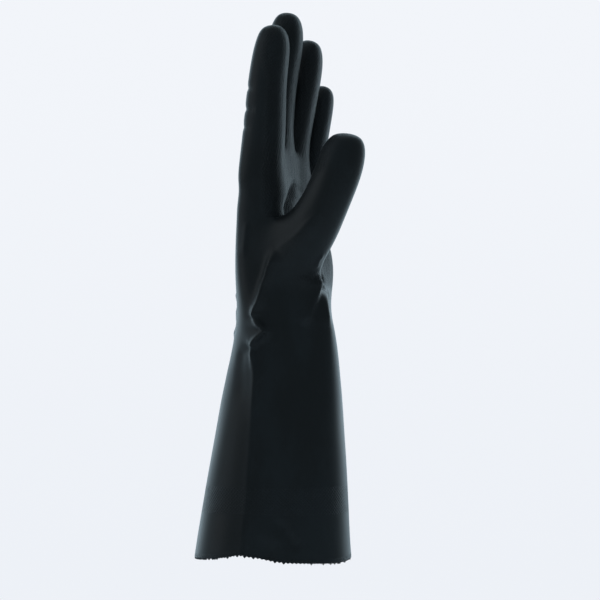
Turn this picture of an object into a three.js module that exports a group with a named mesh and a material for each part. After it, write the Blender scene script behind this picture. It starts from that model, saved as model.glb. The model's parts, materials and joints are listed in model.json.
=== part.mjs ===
// Chemical-resistant gauntlet glove for the left hand, dipped in one piece of black rubber.
// It keeps the form it has when worn: five round fingers, a cupped palm and a flared open sleeve.
// Frame, in millimetres: the origin is the centre of the sleeve's mouth, +Z points to the fingertips,
// +X points out of the palm, -Y points to the thumb and +Y to the little finger.
import * as THREE from "three";

// Driving dimensions
const WALL = 1.2; // thickness of the dipped skin
const SUBDIVISIONS = 1; // times that the coarse cage is smoothed
const COLUMNS = 8; // cage edges across the back of the hand, two for each finger
const RING = 2 * COLUMNS + 4; // cage points around the sleeve
const MOUTH_WAVE_HEIGHT = 40; // how far up the sleeve the mouth's waves reach
const ROUND_POWER = 2; // power of an elliptic section's outline
const FLAT_REACH = 0.95; // share of the half width that a flat section's faces reach
const ARCH_START = -0.2; // share of the half width where the palm's arch starts to lean
const UNDER_WEBS = 7; // how far below the fingers' foot the last ring of the palm stands
const SIDE_BULGE = 2.5; // how far the outer fingers' sides stand out at their foot
const PALM_SQUARE = 1.2; // how far a digit's palm side stands out at its corners, 1 if it were round
const MIDDLE_DROP = 1 / 3; // share of a knuckle's drop between the back and the palm

// Sections of the sleeve and palm, from the mouth up. depth and width are half sizes. back and palm are
// the powers of the section's two sides: 2 is elliptic, more is flatter with tighter corners. arch
// brings the little finger's side towards the palm and slope lowers it, as the knuckles' line does.
// turn is how far the section is turned towards the little finger's side, in degrees.
const TRUNK = [
  { z: 0, x: 0, depth: 52.1, width: 46, back: 2.5, palm: 2.6, arch: 0, slope: 0, turn: 15 },
  { z: 12, x: 0.4, depth: 51, width: 45.4, back: 2.5, palm: 2.6, arch: 0, slope: 0, turn: 15 },
  { z: 44, x: 2.4, depth: 47.7, width: 43.6, back: 2.5, palm: 2.7, arch: 0, slope: 0, turn: 15 },
  { z: 76, x: 4.4, depth: 43.7, width: 42, back: 2.5, palm: 2.8, arch: 0, slope: 0, turn: 15 },
  { z: 104, x: 6, depth: 39.8, width: 41, back: 2.4, palm: 3.4, arch: 0, slope: 0, turn: 15 },
  { z: 126, x: 7.4, depth: 36.2, width: 41.1, back: 2.4, palm: 4.2, arch: 0, slope: 0, turn: 15 },
  { z: 143, x: 8.2, depth: 33.6, width: 41.6, back: 2.6, palm: 5.5, arch: 0, slope: 0, turn: 15 },
  { z: 156, x: 7.8, depth: 31.2, width: 42.2, back: 3, palm: 7, arch: 0.5, slope: 0, turn: 15 },
  { z: 168, x: 6.8, depth: 30.2, width: 43, back: 4, palm: 8, arch: 2.5, slope: 0, turn: 13 },
  { z: 184, x: 5, depth: 27.8, width: 44, back: 4.5, palm: 8, arch: 6, slope: 1, turn: 8 },
  { z: 202, x: 3.3, depth: 23.6, width: 44.6, back: 5, palm: 5, arch: 8.5, slope: 4, turn: 2 },
  { z: 221, x: 2.4, depth: 18.5, width: 45, back: 5, palm: 3, arch: 10, slope: 8, turn: 0 },
  { z: 240, x: 1.8, depth: 15.9, width: 45.5, back: 5, palm: 9, arch: 11, slope: 13, turn: 0 },
];

// Foot of the fingers, one row for each column from the index finger's outer side to the little
// finger's. Even columns are the finger sides and webs, odd ones the middle of each finger.
const KNUCKLES = [
  { y: -45.5, x: 1.5, z: 256, depth: 12.8, drop: 3 },
  { y: -34.5, x: 1.6, z: 259, depth: 15.4, drop: 6 },
  { y: -23, x: 2.2, z: 267, depth: 12.2, drop: 9 },
  { y: -11.5, x: 1.6, z: 263, depth: 14.6, drop: 6 },
  { y: 0.3, x: 3.2, z: 265, depth: 13, drop: 9 },
  { y: 12, x: 5.6, z: 259, depth: 14.6, drop: 6 },
  { y: 23, x: 8, z: 249.5, depth: 11.2, drop: 9 },
  { y: 33, x: 12, z: 246, depth: 12.6, drop: 6 },
  { y: 42, x: 15, z: 243, depth: 6.5, drop: 3 },
];

// Sections of each finger above its foot. depth and width are half sizes.
const FINGERS = [
  {
    name: "index",
    sections: [
      { z: 275, x: 3.3, y: -35.8, depth: 13.4, width: 11.8 },
      { z: 293, x: 4.7, y: -36.6, depth: 12.8, width: 11.6 },
      { z: 311, x: 6.2, y: -37.6, depth: 11.9, width: 11.2 },
      { z: 327, x: 8.9, y: -38.5, depth: 11.6, width: 10.9 },
      { z: 338.5, x: 10.8, y: -39, depth: 10.1, width: 9.7 },
      { z: 345, x: 10.4, y: -39.3, depth: 6.4, width: 6.2 },
    ],
    dome: 2,
  },
  {
    name: "middle",
    sections: [
      { z: 281, x: 2.4, y: -12, depth: 13.1, width: 11.8 },
      { z: 300, x: 4.6, y: -12.6, depth: 12.5, width: 11.6 },
      { z: 319, x: 7.9, y: -13.2, depth: 11.7, width: 11.3 },
      { z: 336.5, x: 11.8, y: -13.8, depth: 11.5, width: 10.7 },
      { z: 348, x: 13.3, y: -14.2, depth: 9.9, width: 9.5 },
      { z: 355, x: 13.8, y: -14.4, depth: 6.2, width: 6 },
    ],
    dome: 2,
  },
  {
    name: "ring",
    sections: [
      { z: 274, x: 6.8, y: 12.4, depth: 13.2, width: 11.3 },
      { z: 291, x: 11, y: 13, depth: 12.4, width: 11.1 },
      { z: 308, x: 15, y: 13.6, depth: 11.4, width: 10.8 },
      { z: 322, x: 18.3, y: 14.2, depth: 10.6, width: 10.3 },
      { z: 332.5, x: 20, y: 14.6, depth: 9.2, width: 9.1 },
      { z: 339.2, x: 21.2, y: 14.8, depth: 5.9, width: 5.8 },
    ],
    dome: 2,
  },
  {
    name: "little",
    sections: [
      { z: 260, x: 14, y: 34.4, depth: 10.6, width: 10 },
      { z: 273, x: 16.5, y: 35.2, depth: 10, width: 9.7 },
      { z: 285.5, x: 19.1, y: 36.2, depth: 9.4, width: 9.3 },
      { z: 297, x: 21.7, y: 37, depth: 8.7, width: 8.7 },
      { z: 305.5, x: 23.6, y: 37.6, depth: 7.6, width: 7.6 },
      { z: 310.6, x: 24.7, y: 37.9, depth: 4.9, width: 4.8 },
    ],
    dome: 1.6,
  },
];

// The thumb grows out of the palm's near corner. Its sections turn from that corner to the thumb's
// own line, so each row also has the way that the section faces.
const THUMB_ROW = 9; // trunk section at the lowest corner of its foot
const THUMB_COLUMN = RING - 3; // trunk column at the palm's side of its foot
const THUMB = {
  across: [-0.75, -0.66, 0],
  sections: [
    { x: 35.9, y: -39.5, z: 211.4, depth: 16, width: 16, face: [0.6, -0.4, 0.7] },
    { x: 44.8, y: -45, z: 223.5, depth: 14.4, width: 14.6, face: [0.46, -0.26, 0.85] },
    { x: 52.2, y: -48.6, z: 237.5, depth: 13.6, width: 14, face: [0.4, -0.18, 0.9] },
    { x: 58.8, y: -51, z: 252.5, depth: 13.2, width: 14.4, face: [0.33, -0.12, 0.94] },
    { x: 63, y: -52.4, z: 266, depth: 12, width: 13.2, face: [0.24, -0.1, 0.97] },
    { x: 64.8, y: -53, z: 273.6, depth: 7.8, width: 8.6, face: [0.2, -0.1, 0.97] },
  ],
  dome: 2,
};

// Soft swellings and hollows of the hand's form, which move the cage in or out around a point.
const MOUNDS = [
  { name: "heel of the thumb", x: 30, y: -26, z: 196, reach: 22, height: 5 },
  { name: "heel of the little finger", x: 32, y: 28, z: 196, reach: 20, height: 0.8 },
  { name: "hollow of the palm", x: 18, y: -2, z: 216, reach: 18, height: -2.8 },
  { name: "pad under the index finger", x: 16, y: -34, z: 240, reach: 16, height: 1 },
  { name: "pad under the middle finger", x: 18, y: -11, z: 250, reach: 14, height: 1.2 },
  { name: "pad under the ring finger", x: 20, y: 12, z: 245, reach: 16, height: 1.8 },
  { name: "index knuckle", x: -14, y: -33, z: 228, reach: 10, height: 1.6 },
  { name: "middle knuckle", x: -13, y: -10, z: 234, reach: 10, height: 2 },
  { name: "ring knuckle", x: -10, y: 12, z: 230, reach: 10, height: 2 },
  { name: "little knuckle", x: -3, y: 32, z: 221, reach: 10, height: 2 },
  { name: "hollow between thumb and index finger", x: 2, y: -44, z: 206, reach: 15, height: -2.4 },
];

// Folds of the rubber along a line of points: ridges, or furrows where the height is below zero.
// width is the distance from the line to where a fold has faded to about a third. skew widens the
// flank on the left of the line's way, seen from outside, and narrows the other.
const FOLDS = [
  {
    name: "flat side beside the crease",
    height: 2.6,
    width: 13,
    skew: -0.6,
    line: [
      { x: -1.5, y: -40, z: 128 },
      { x: -3.4, y: -40.6, z: 103 },
      { x: -4.3, y: -42.1, z: 79 },
      { x: -6.4, y: -44.5, z: 41 },
      { x: -9.6, y: -47.6, z: -3 },
    ],
  },
  {
    name: "side crease, thumb side",
    height: 1,
    width: 5,
    skew: 0,
    line: [
      { x: -1.8, y: -39.6, z: 141 },
      { x: -2.5, y: -40.3, z: 111 },
      { x: -4.3, y: -42.1, z: 79 },
      { x: -6.4, y: -44.5, z: 41 },
      { x: -9.6, y: -47.6, z: -3 },
    ],
  },
  {
    name: "hollow behind the crease",
    height: -0.8,
    width: 5.5,
    skew: 0,
    line: [
      { x: -12.6, y: -33.6, z: 133 },
      { x: -11.3, y: -36.6, z: 118 },
      { x: -12.3, y: -38.4, z: 99 },
    ],
  },
  {
    name: "pinch at the wrist",
    height: 2.4,
    width: 5.5,
    skew: -0.4,
    line: [
      { x: -0.1, y: -41.6, z: 159 },
      { x: 3.5, y: -41.4, z: 151 },
      { x: -2, y: -39.6, z: 144 },
      { x: -2.8, y: -39.2, z: 138 },
    ],
  },
  {
    name: "tendon of the thumb",
    height: 2.6,
    width: 5,
    skew: -0.2,
    line: [
      { x: 14.1, y: -47.2, z: 199 },
      { x: 9.8, y: -45, z: 190 },
      { x: 4.8, y: -43.5, z: 178 },
      { x: 0.6, y: -42.5, z: 164 },
      { x: -0.5, y: -41.3, z: 158 },
    ],
  },
  {
    name: "lower edge of the thumb's back",
    height: 1.2,
    width: 5.5,
    skew: -0.4,
    line: [
      { x: 42, y: -57.6, z: 215 },
      { x: 33.6, y: -54.5, z: 207 },
      { x: 25.7, y: -49.6, z: 197 },
    ],
  },
  {
    name: "wrist fold under the thumb",
    height: 2.6,
    width: 5.5,
    skew: -0.3,
    line: [
      { x: 41.4, y: -36.5, z: 188 },
      { x: 39.8, y: -34, z: 179 },
      { x: 37, y: -34.8, z: 169 },
      { x: 30, y: -37, z: 158 },
    ],
  },
  {
    name: "hollow of the thumb's web in the palm",
    height: -3,
    width: 7,
    skew: 0,
    line: [
      { x: 17.5, y: -10, z: 244 },
      { x: 18, y: -15, z: 238 },
      { x: 19, y: -20, z: 234 },
    ],
  },
  {
    name: "line between the heels of the palm",
    height: -1.6,
    width: 7,
    skew: 0,
    line: [
      { x: 21, y: 4, z: 219 },
      { x: 25, y: 1.2, z: 205 },
      { x: 31.8, y: 0.3, z: 190 },
      { x: 35.6, y: 2.3, z: 178 },
    ],
  },
  {
    name: "wrist fold of the palm, upper",
    height: 1.3,
    width: 5,
    skew: 0,
    line: [
      { x: 40, y: -17, z: 173 },
      { x: 36.9, y: -5.6, z: 178 },
      { x: 34, y: 12.1, z: 176 },
      { x: 33, y: 24, z: 170 },
    ],
  },
  {
    name: "wrist fold of the palm, lower",
    height: -1.3,
    width: 5,
    skew: 0,
    line: [
      { x: 42.4, y: -13.3, z: 162 },
      { x: 37.1, y: 4.3, z: 167 },
      { x: 34.4, y: 20, z: 163 },
    ],
  },
  {
    name: "back of the wrist, upper wrinkle",
    height: 1.4,
    width: 4.5,
    skew: 0,
    line: [
      { x: -19.4, y: -20, z: 169 },
      { x: -21.9, y: -8.1, z: 173 },
      { x: -24.3, y: 7.7, z: 171 },
      { x: -23.7, y: 22, z: 165 },
    ],
  },
  {
    name: "back of the wrist, lower wrinkle",
    height: 1.2,
    width: 4.5,
    skew: 0,
    line: [
      { x: -22.5, y: -10, z: 149 },
      { x: -25, y: -2.2, z: 148 },
      { x: -25.8, y: 17.5, z: 151 },
      { x: -21, y: 29, z: 156 },
    ],
  },
  {
    name: "side crease, little finger's side",
    height: 1.2,
    width: 5.5,
    skew: 0,
    line: [
      { x: 5.5, y: 41.7, z: 142 },
      { x: 6.5, y: 41.4, z: 105 },
      { x: 4.5, y: 42.9, z: 62 },
      { x: 1.5, y: 46.1, z: 8 },
      { x: 1, y: 46.8, z: -3 },
    ],
  },
  {
    name: "swelling near the mouth",
    height: 1.2,
    width: 6,
    skew: 0,
    line: [
      { x: 2, y: -44.8, z: 22 },
      { x: 8, y: -43.9, z: 19 },
      { x: 16, y: -42, z: 12 },
    ],
  },
  {
    name: "wrinkle on the back of the index finger",
    height: -1,
    width: 4.5,
    skew: 0,
    line: [
      { x: -3, y: -28, z: 302 },
      { x: -7, y: -38, z: 303 },
      { x: -1, y: -46, z: 302 },
    ],
  },
];

// How far the mouth's cut edge rises where the sleeve has creased, at an angle from the palm's side
// towards the little finger's, in degrees.
const MOUTH_RISES = [
  { angle: -96, spread: 24, rise: 5 },
  { angle: -128, spread: 26, rise: 1.9 },
  { angle: -165, spread: 30, rise: 1.6 },
  { angle: 18, spread: 28, rise: 2.2 },
  { angle: -50, spread: 20, rise: 0.5 },
  { angle: 74, spread: 26, rise: 3.5 },
];

const UP = new THREE.Vector3(0, 0, 1);
const ACROSS_HAND = new THREE.Vector3(0, 1, 0);

// A cage of quads, grown by rings and by patches of three by three points.
class Cage {
  constructor() {
    this.points = [];
    this.quads = [];
  }
  point(x, y, z) {
    return this.points.push(new THREE.Vector3(x, y, z)) - 1;
  }
  quad(a, b, c, d) {
    this.quads.push([a, b, c, d]);
  }
}

// Share of the way across the hand, from -1 to 1, of each ring point, and which face it lies on.
function ringStation(k, flat) {
  const step = (2 * Math.PI) / RING;
  const onBack = k <= COLUMNS;
  const onPalm = k >= COLUMNS + 2 && k <= 2 * COLUMNS + 2;
  const column = onBack ? k : 2 * COLUMNS + 2 - k;
  if (!onBack && !onPalm) return { across: k === COLUMNS + 1 ? 1 : -1, side: 0 };
  const round = Math.sin((column - COLUMNS / 2) * step);
  const level = (column - COLUMNS / 2) / (COLUMNS / 2);
  const straight = THREE.MathUtils.clamp(level, -FLAT_REACH, FLAT_REACH);
  return { across: THREE.MathUtils.lerp(round, straight, flat), side: onBack ? -1 : 1 };
}

function trunkRing(cage, row) {
  const ring = [];
  const flat = Math.min(1, (row.back + row.palm) / (2 * ROUND_POWER) - 1);
  for (let k = 0; k < RING; k++) {
    const { across, side } = ringStation(k, flat);
    const power = side > 0 ? row.palm : row.back;
    const out = Math.pow(1 - Math.pow(Math.abs(across), power), 1 / power);
    const lean = row.arch * Math.max(0, across - ARCH_START) ** 2;
    const down = (row.slope * (1 + across)) / 2;
    const place = new THREE.Vector3(side * row.depth * out + lean, across * row.width, row.z - down);
    place.applyAxisAngle(UP, THREE.MathUtils.degToRad(row.turn));
    ring.push(cage.point(place.x + row.x, place.y, place.z));
  }
  return ring;
}

// The ring that the fingers stand on, and the points between its two sides.
function knuckleRing(cage) {
  const ring = new Array(RING);
  const middle = new Array(COLUMNS + 1);
  KNUCKLES.forEach((foot, column) => {
    ring[column] = cage.point(foot.x - foot.depth, foot.y, foot.z - foot.drop);
    ring[2 * COLUMNS + 2 - column] = cage.point(foot.x + foot.depth, foot.y, foot.z);
    const level = column / (COLUMNS / 2) - 1;
    const outer = Math.trunc(level) * SIDE_BULGE;
    middle[column] = cage.point(foot.x, foot.y + outer, foot.z - foot.drop * MIDDLE_DROP);
  });
  ring[COLUMNS + 1] = middle[COLUMNS];
  ring[RING - 1] = middle[0];
  return { ring, middle };
}

const PATCH = [0, 1, 2]; // rows and columns of a digit's patch of points
const PATCH_RIM = [[0, 0], [1, 0], [2, 0], [2, 1], [2, 2], [1, 2], [0, 2], [0, 1]];
const ROUNDNESS = (4 + 2 * Math.cos(Math.PI / 4)) / 6; // an octagon's smooth limit lies inside it

// The patch of points of one section of a digit, with its centre raised by lift.
function sectionPatch(cage, section, lift) {
  return PATCH.map((i) =>
    PATCH.map((j) => {
      const isPalmCorner = i === 2 && j !== 1;
      const reach = (Math.hypot(i - 1, j - 1) || 1) / (isPalmCorner ? PALM_SQUARE : 1);
      const at = section.centre.clone();
      at.addScaledVector(section.inward, (((i - 1) / reach) * section.depth) / ROUNDNESS);
      at.addScaledVector(section.across, (((j - 1) / reach) * section.width) / ROUNDNESS);
      const isCentre = i === 1 && j === 1;
      at.addScaledVector(section.facing, isCentre ? lift : 0);
      return cage.point(at.x, at.y, at.z);
    }),
  );
}

// Grows a digit out of a patch: a wall to each section, then a cap with a raised centre.
function growDigit(cage, foot, sections, dome) {
  let grid = foot;
  sections.forEach((section, index) => {
    const isTip = index === sections.length - 1;
    const next = sectionPatch(cage, section, isTip ? dome : 0);
    PATCH_RIM.forEach(([i, j], n) => {
      const [k, l] = PATCH_RIM[(n + 1) % PATCH_RIM.length];
      cage.quad(grid[i][j], grid[k][l], next[k][l], next[i][j]);
    });
    grid = next;
  });
  const quarters = [[0, 0], [0, 1], [1, 0], [1, 1]];
  quarters.forEach(([i, j]) => cage.quad(grid[i][j], grid[i + 1][j], grid[i + 1][j + 1], grid[i][j + 1]));
}

// Gives each section its centre and the two directions that it is measured along.
function placeSections(rows, acrossHint) {
  return rows.map((row, index) => {
    const centre = new THREE.Vector3(row.x, row.y, row.z);
    const before = rows[Math.max(0, index - 1)];
    const after = rows[Math.min(rows.length - 1, index + 1)];
    const facing = row.face
      ? new THREE.Vector3(...row.face)
      : new THREE.Vector3(after.x - before.x, after.y - before.y, after.z - before.z);
    facing.normalize();
    const across = acrossHint.clone().addScaledVector(facing, -acrossHint.dot(facing)).normalize();
    const inward = across.clone().cross(facing);
    return { centre, facing, across, inward, depth: row.depth, width: row.width };
  });
}

function buildCage() {
  const cage = new Cage();
  const rings = TRUNK.map((row) => trunkRing(cage, row));
  const { ring: top, middle } = knuckleRing(cage);
  const underWebs = top.map((a) => {
    const above = cage.points[a];
    return cage.point(above.x, above.y, above.z - UNDER_WEBS);
  });
  rings.push(underWebs, top);
  for (let r = 0; r + 1 < rings.length; r++) {
    for (let k = 0; k < RING; k++) {
      const inFoot = r >= THUMB_ROW && r < THUMB_ROW + 2 && k >= THUMB_COLUMN && k < THUMB_COLUMN + 2;
      const n = (k + 1) % RING;
      if (!inFoot) cage.quad(rings[r][k], rings[r + 1][k], rings[r + 1][n], rings[r][n]);
    }
  }
  const thumbFoot = PATCH.map((i) => PATCH.map((j) => rings[THUMB_ROW + i][(THUMB_COLUMN + j) % RING]));
  growDigit(cage, thumbFoot, placeSections(THUMB.sections, new THREE.Vector3(...THUMB.across)), THUMB.dome);
  FINGERS.forEach((finger, index) => {
    const columns = [2 * index, 2 * index + 1, 2 * index + 2];
    const foot = [
      columns.map((c) => top[c]),
      columns.map((c) => middle[c]),
      columns.map((c) => top[2 * COLUMNS + 2 - c]),
    ];
    growDigit(cage, foot, placeSections(finger.sections, ACROSS_HAND), finger.dome);
  });
  return cage;
}

// Neighbours of each point: the points along its edges, the far corners of its faces, and the two
// points beside it along the open mouth, if it lies there.
function neighbours(cage) {
  const around = cage.points.map(() => ({ edges: new Set(), corners: [], faces: 0 }));
  const edgeCount = new Map();
  const key = (a, b) => (a < b ? `${a}_${b}` : `${b}_${a}`);
  cage.quads.forEach((q) =>
    q.forEach((a, i) => {
      const b = q[(i + 1) % 4];
      around[a].edges.add(b);
      around[b].edges.add(a);
      around[a].corners.push(q[(i + 2) % 4]);
      around[a].faces++;
      edgeCount.set(key(a, b), (edgeCount.get(key(a, b)) || 0) + 1);
    }),
  );
  around.forEach((near, a) => {
    near.mouth = [...near.edges].filter((b) => edgeCount.get(key(a, b)) === 1);
  });
  return { around, edgeCount, key };
}

function mean(points) {
  const sum = new THREE.Vector3();
  points.forEach((p) => sum.add(p));
  return sum.divideScalar(points.length);
}

// Mean of a mouth point, weighed by own, and its two neighbours along the mouth.
function mouthMean(cage, a, near, own) {
  const sum = cage.points[a].clone().multiplyScalar(own);
  near.mouth.forEach((b) => sum.add(cage.points[b]));
  return sum.divideScalar(own + 2);
}

// One step of Catmull and Clark's smoothing.
function subdivide(cage) {
  const { around, edgeCount, key } = neighbours(cage);
  const out = new Cage();
  const at = (p) => out.point(p.x, p.y, p.z);
  const face = cage.quads.map((q) => mean(q.map((i) => cage.points[i])));
  const besideEdge = new Map();
  const besidePoint = cage.points.map(() => []);
  cage.quads.forEach((q, f) =>
    q.forEach((a, i) => {
      const id = key(a, q[(i + 1) % 4]);
      besideEdge.set(id, [...(besideEdge.get(id) || []), face[f]]);
      besidePoint[a].push(face[f]);
    }),
  );
  const moved = cage.points.map((p, a) => {
    const near = around[a];
    if (near.mouth.length) return at(mouthMean(cage, a, near, 6));
    const n = near.edges.size;
    const edgeMean = mean([...near.edges].map((b) => cage.points[b].clone().add(p).divideScalar(2)));
    return at(mean(besidePoint[a]).addScaledVector(edgeMean, 2).addScaledVector(p, n - 3).divideScalar(n));
  });
  const onEdge = new Map();
  edgeCount.forEach((count, id) => {
    const [a, b] = id.split("_").map(Number);
    const ends = [cage.points[a], cage.points[b]];
    onEdge.set(id, at(mean(count === 1 ? ends : [...ends, ...besideEdge.get(id)])));
  });
  const inFace = face.map(at);
  cage.quads.forEach((q, f) =>
    q.forEach((a, i) => {
      const next = onEdge.get(key(a, q[(i + 1) % 4]));
      const last = onEdge.get(key(a, q[(i + 3) % 4]));
      out.quad(moved[a], next, inFace[f], last);
    }),
  );
  return out;
}

// Moves every point to where endless smoothing would take it.
function toLimit(cage) {
  const { around } = neighbours(cage);
  const limit = cage.points.map((p, a) => {
    const near = around[a];
    if (near.mouth.length) return mouthMean(cage, a, near, 4);
    const n = near.edges.size;
    const sum = p.clone().multiplyScalar(n * n);
    near.edges.forEach((b) => sum.addScaledVector(cage.points[b], 4));
    near.corners.forEach((c) => sum.add(cage.points[c]));
    return sum.divideScalar(n * (n + 5));
  });
  cage.points = limit;
}

function pointNormals(cage) {
  const normals = cage.points.map(() => new THREE.Vector3());
  cage.quads.forEach((q) => {
    const [a, b, c, d] = q.map((i) => cage.points[i]);
    const n = c.clone().sub(a).cross(d.clone().sub(b));
    q.forEach((i) => normals[i].add(n));
  });
  return normals.map((n) => n.normalize());
}

// Gives the smooth skin its wall: an inner surface one wall inside, joined around the mouth.
function thicken(cage, wall) {
  const normals = pointNormals(cage);
  const { around } = neighbours(cage);
  const count = cage.points.length;
  const positions = [];
  cage.points.forEach((p) => positions.push(p.x, p.y, p.z));
  cage.points.forEach((p, a) => {
    const inner = p.clone().addScaledVector(normals[a], -wall);
    if (around[a].mouth.length) inner.z = p.z;
    positions.push(inner.x, inner.y, inner.z);
  });
  const triangles = [];
  const quad = (a, b, c, d) => triangles.push(a, b, c, a, c, d);
  cage.quads.forEach(([a, b, c, d]) => {
    quad(a, b, c, d);
    quad(d + count, c + count, b + count, a + count);
  });
  cage.quads.forEach((q) =>
    q.forEach((a, i) => {
      const b = q[(i + 1) % 4];
      if (around[a].mouth.includes(b)) quad(b, a, a + count, b + count);
    }),
  );
  const geometry = new THREE.BufferGeometry();
  geometry.setAttribute("position", new THREE.Float32BufferAttribute(positions, 3));
  geometry.setIndex(triangles);
  return geometry;
}

// Pushes points out by each mound near them.
function raiseMounds(cage, mounds) {
  const normals = pointNormals(cage);
  cage.points.forEach((p, a) => {
    const lift = mounds.reduce((sum, mound) => {
      const away = p.distanceTo(mound) / mound.reach;
      return sum + mound.height * Math.exp(-away * away);
    }, 0);
    p.addScaledVector(normals[a], lift);
  });
}

// Lets the mouth's edge, and less the sleeve just above it, rise and fall.
function waveMouth(cage, rises) {
  cage.points.forEach((p) => {
    const fade = Math.max(0, 1 - p.z / MOUTH_WAVE_HEIGHT);
    const angle = THREE.MathUtils.radToDeg(Math.atan2(p.y, p.x));
    p.z += rises.reduce((lift, wave) => {
      const away = THREE.MathUtils.euclideanModulo(angle - wave.angle + 180, 360) - 180;
      return lift + fade * wave.rise * Math.exp(-((away / wave.spread) ** 2));
    }, 0);
  });
}

// The nearest place on a line of points: how far away it is, and on which side of the line's way the
// point lies as seen from outside, 1 for the left and -1 for the right.
function nearestOnLine(p, normal, line) {
  const spans = line.slice(1).map((end, i) => {
    const span = new THREE.Line3(new THREE.Vector3().copy(line[i]), new THREE.Vector3().copy(end));
    const nearest = span.closestPointToPoint(p, true, new THREE.Vector3());
    const leftward = normal.clone().cross(span.delta(new THREE.Vector3()));
    return { away: nearest.distanceTo(p), side: Math.sign(p.clone().sub(nearest).dot(leftward)) };
  });
  return spans.reduce((best, span) => (span.away < best.away ? span : best));
}

// Raises the folds' ridges and sinks their furrows.
function raiseFolds(cage, folds) {
  const normals = pointNormals(cage);
  cage.points.forEach((p, a) => {
    const lift = folds.reduce((sum, fold) => {
      const { away, side } = nearestOnLine(p, normals[a], fold.line);
      const share = away / (fold.width * (1 + fold.skew * side));
      return sum + fold.height * Math.exp(-share * share);
    }, 0);
    p.addScaledVector(normals[a], lift);
  });
}

function makeGlove(material) {
  let skin = buildCage();
  raiseMounds(skin, MOUNDS);
  for (let i = 0; i < SUBDIVISIONS; i++) {
    skin = subdivide(skin);
  }
  toLimit(skin);
  waveMouth(skin, MOUTH_RISES);
  raiseFolds(skin, FOLDS);
  const glove = new THREE.Mesh(thicken(skin, WALL), material);
  glove.name = "glove";
  return glove;
}

const rubber = new THREE.MeshStandardMaterial({ color: 0x15181a, roughness: 0.55, metalness: 0 });

const part = new THREE.Group();
part.add(makeGlove(rubber));

export default part;
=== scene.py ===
"""Chemical-resistant gauntlet glove for the left hand, dipped in one piece of black rubber.

The skin is box-modelled: a ring of edges is extruded up the sleeve and palm, the top is filled, and
each finger and the thumb is extruded out of its own patch. It is smoothed, creased, given the pinked
rim of the sleeve and then its wall. +Z points to the fingertips, +X out of the palm, -Y to the thumb.
"""
import json
import math
from collections import namedtuple

import bmesh
import bpy
import numpy as np
from bpy.props import FloatProperty, FloatVectorProperty, IntProperty, PointerProperty
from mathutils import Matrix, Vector

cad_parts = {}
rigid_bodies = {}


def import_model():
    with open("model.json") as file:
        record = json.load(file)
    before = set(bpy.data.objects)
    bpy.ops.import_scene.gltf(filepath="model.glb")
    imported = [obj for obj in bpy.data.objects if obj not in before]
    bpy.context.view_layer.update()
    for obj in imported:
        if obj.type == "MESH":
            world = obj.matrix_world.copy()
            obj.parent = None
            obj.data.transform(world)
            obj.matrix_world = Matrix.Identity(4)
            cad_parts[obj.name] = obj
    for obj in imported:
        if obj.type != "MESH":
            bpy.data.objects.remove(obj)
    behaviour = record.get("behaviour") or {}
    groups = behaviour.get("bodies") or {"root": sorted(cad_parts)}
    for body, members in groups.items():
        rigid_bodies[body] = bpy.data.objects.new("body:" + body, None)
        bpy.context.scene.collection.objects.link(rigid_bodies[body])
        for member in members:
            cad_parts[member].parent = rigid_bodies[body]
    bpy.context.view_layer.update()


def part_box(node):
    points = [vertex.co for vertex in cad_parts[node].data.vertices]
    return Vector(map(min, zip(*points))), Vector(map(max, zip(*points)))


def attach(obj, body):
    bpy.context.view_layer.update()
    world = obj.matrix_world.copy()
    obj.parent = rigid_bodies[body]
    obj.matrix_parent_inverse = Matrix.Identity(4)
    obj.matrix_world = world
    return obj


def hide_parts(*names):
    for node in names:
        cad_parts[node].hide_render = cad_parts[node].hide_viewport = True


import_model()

bl_info = {
    "name": "Dipped Gauntlet Glove",
    "version": (1, 0, 0),
    "blender": (4, 5, 0),
    "location": "View3D > Sidebar > Glove",
    "description": "Models a dipped rubber gauntlet with creases, grip and a pinked rim",
    "category": "Add Mesh",
}

MM = 0.001
SKIN_NODE = "glove"
SKIN_PIECE = "dipped_skin"
CAD_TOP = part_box(SKIN_NODE)[1].z  # height of the middle fingertip, in metres

# Layout of the cage: stations 0 to 8 run across the back of the hand from the index finger's side,
# 9 is the little finger's side, 10 to 18 run back across the palm and 19 is the index finger's side.
COLUMNS = 8
RING = 2 * COLUMNS + 4
PALM_START = COLUMNS + 2
PALM_END = 2 * COLUMNS + 2
PALM_CENTRE = (PALM_START + PALM_END) // 2
FAR_EDGE = COLUMNS + 1
NEAR_EDGE = RING - 1
PATCH = 3  # points along each side of a digit's foot

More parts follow.
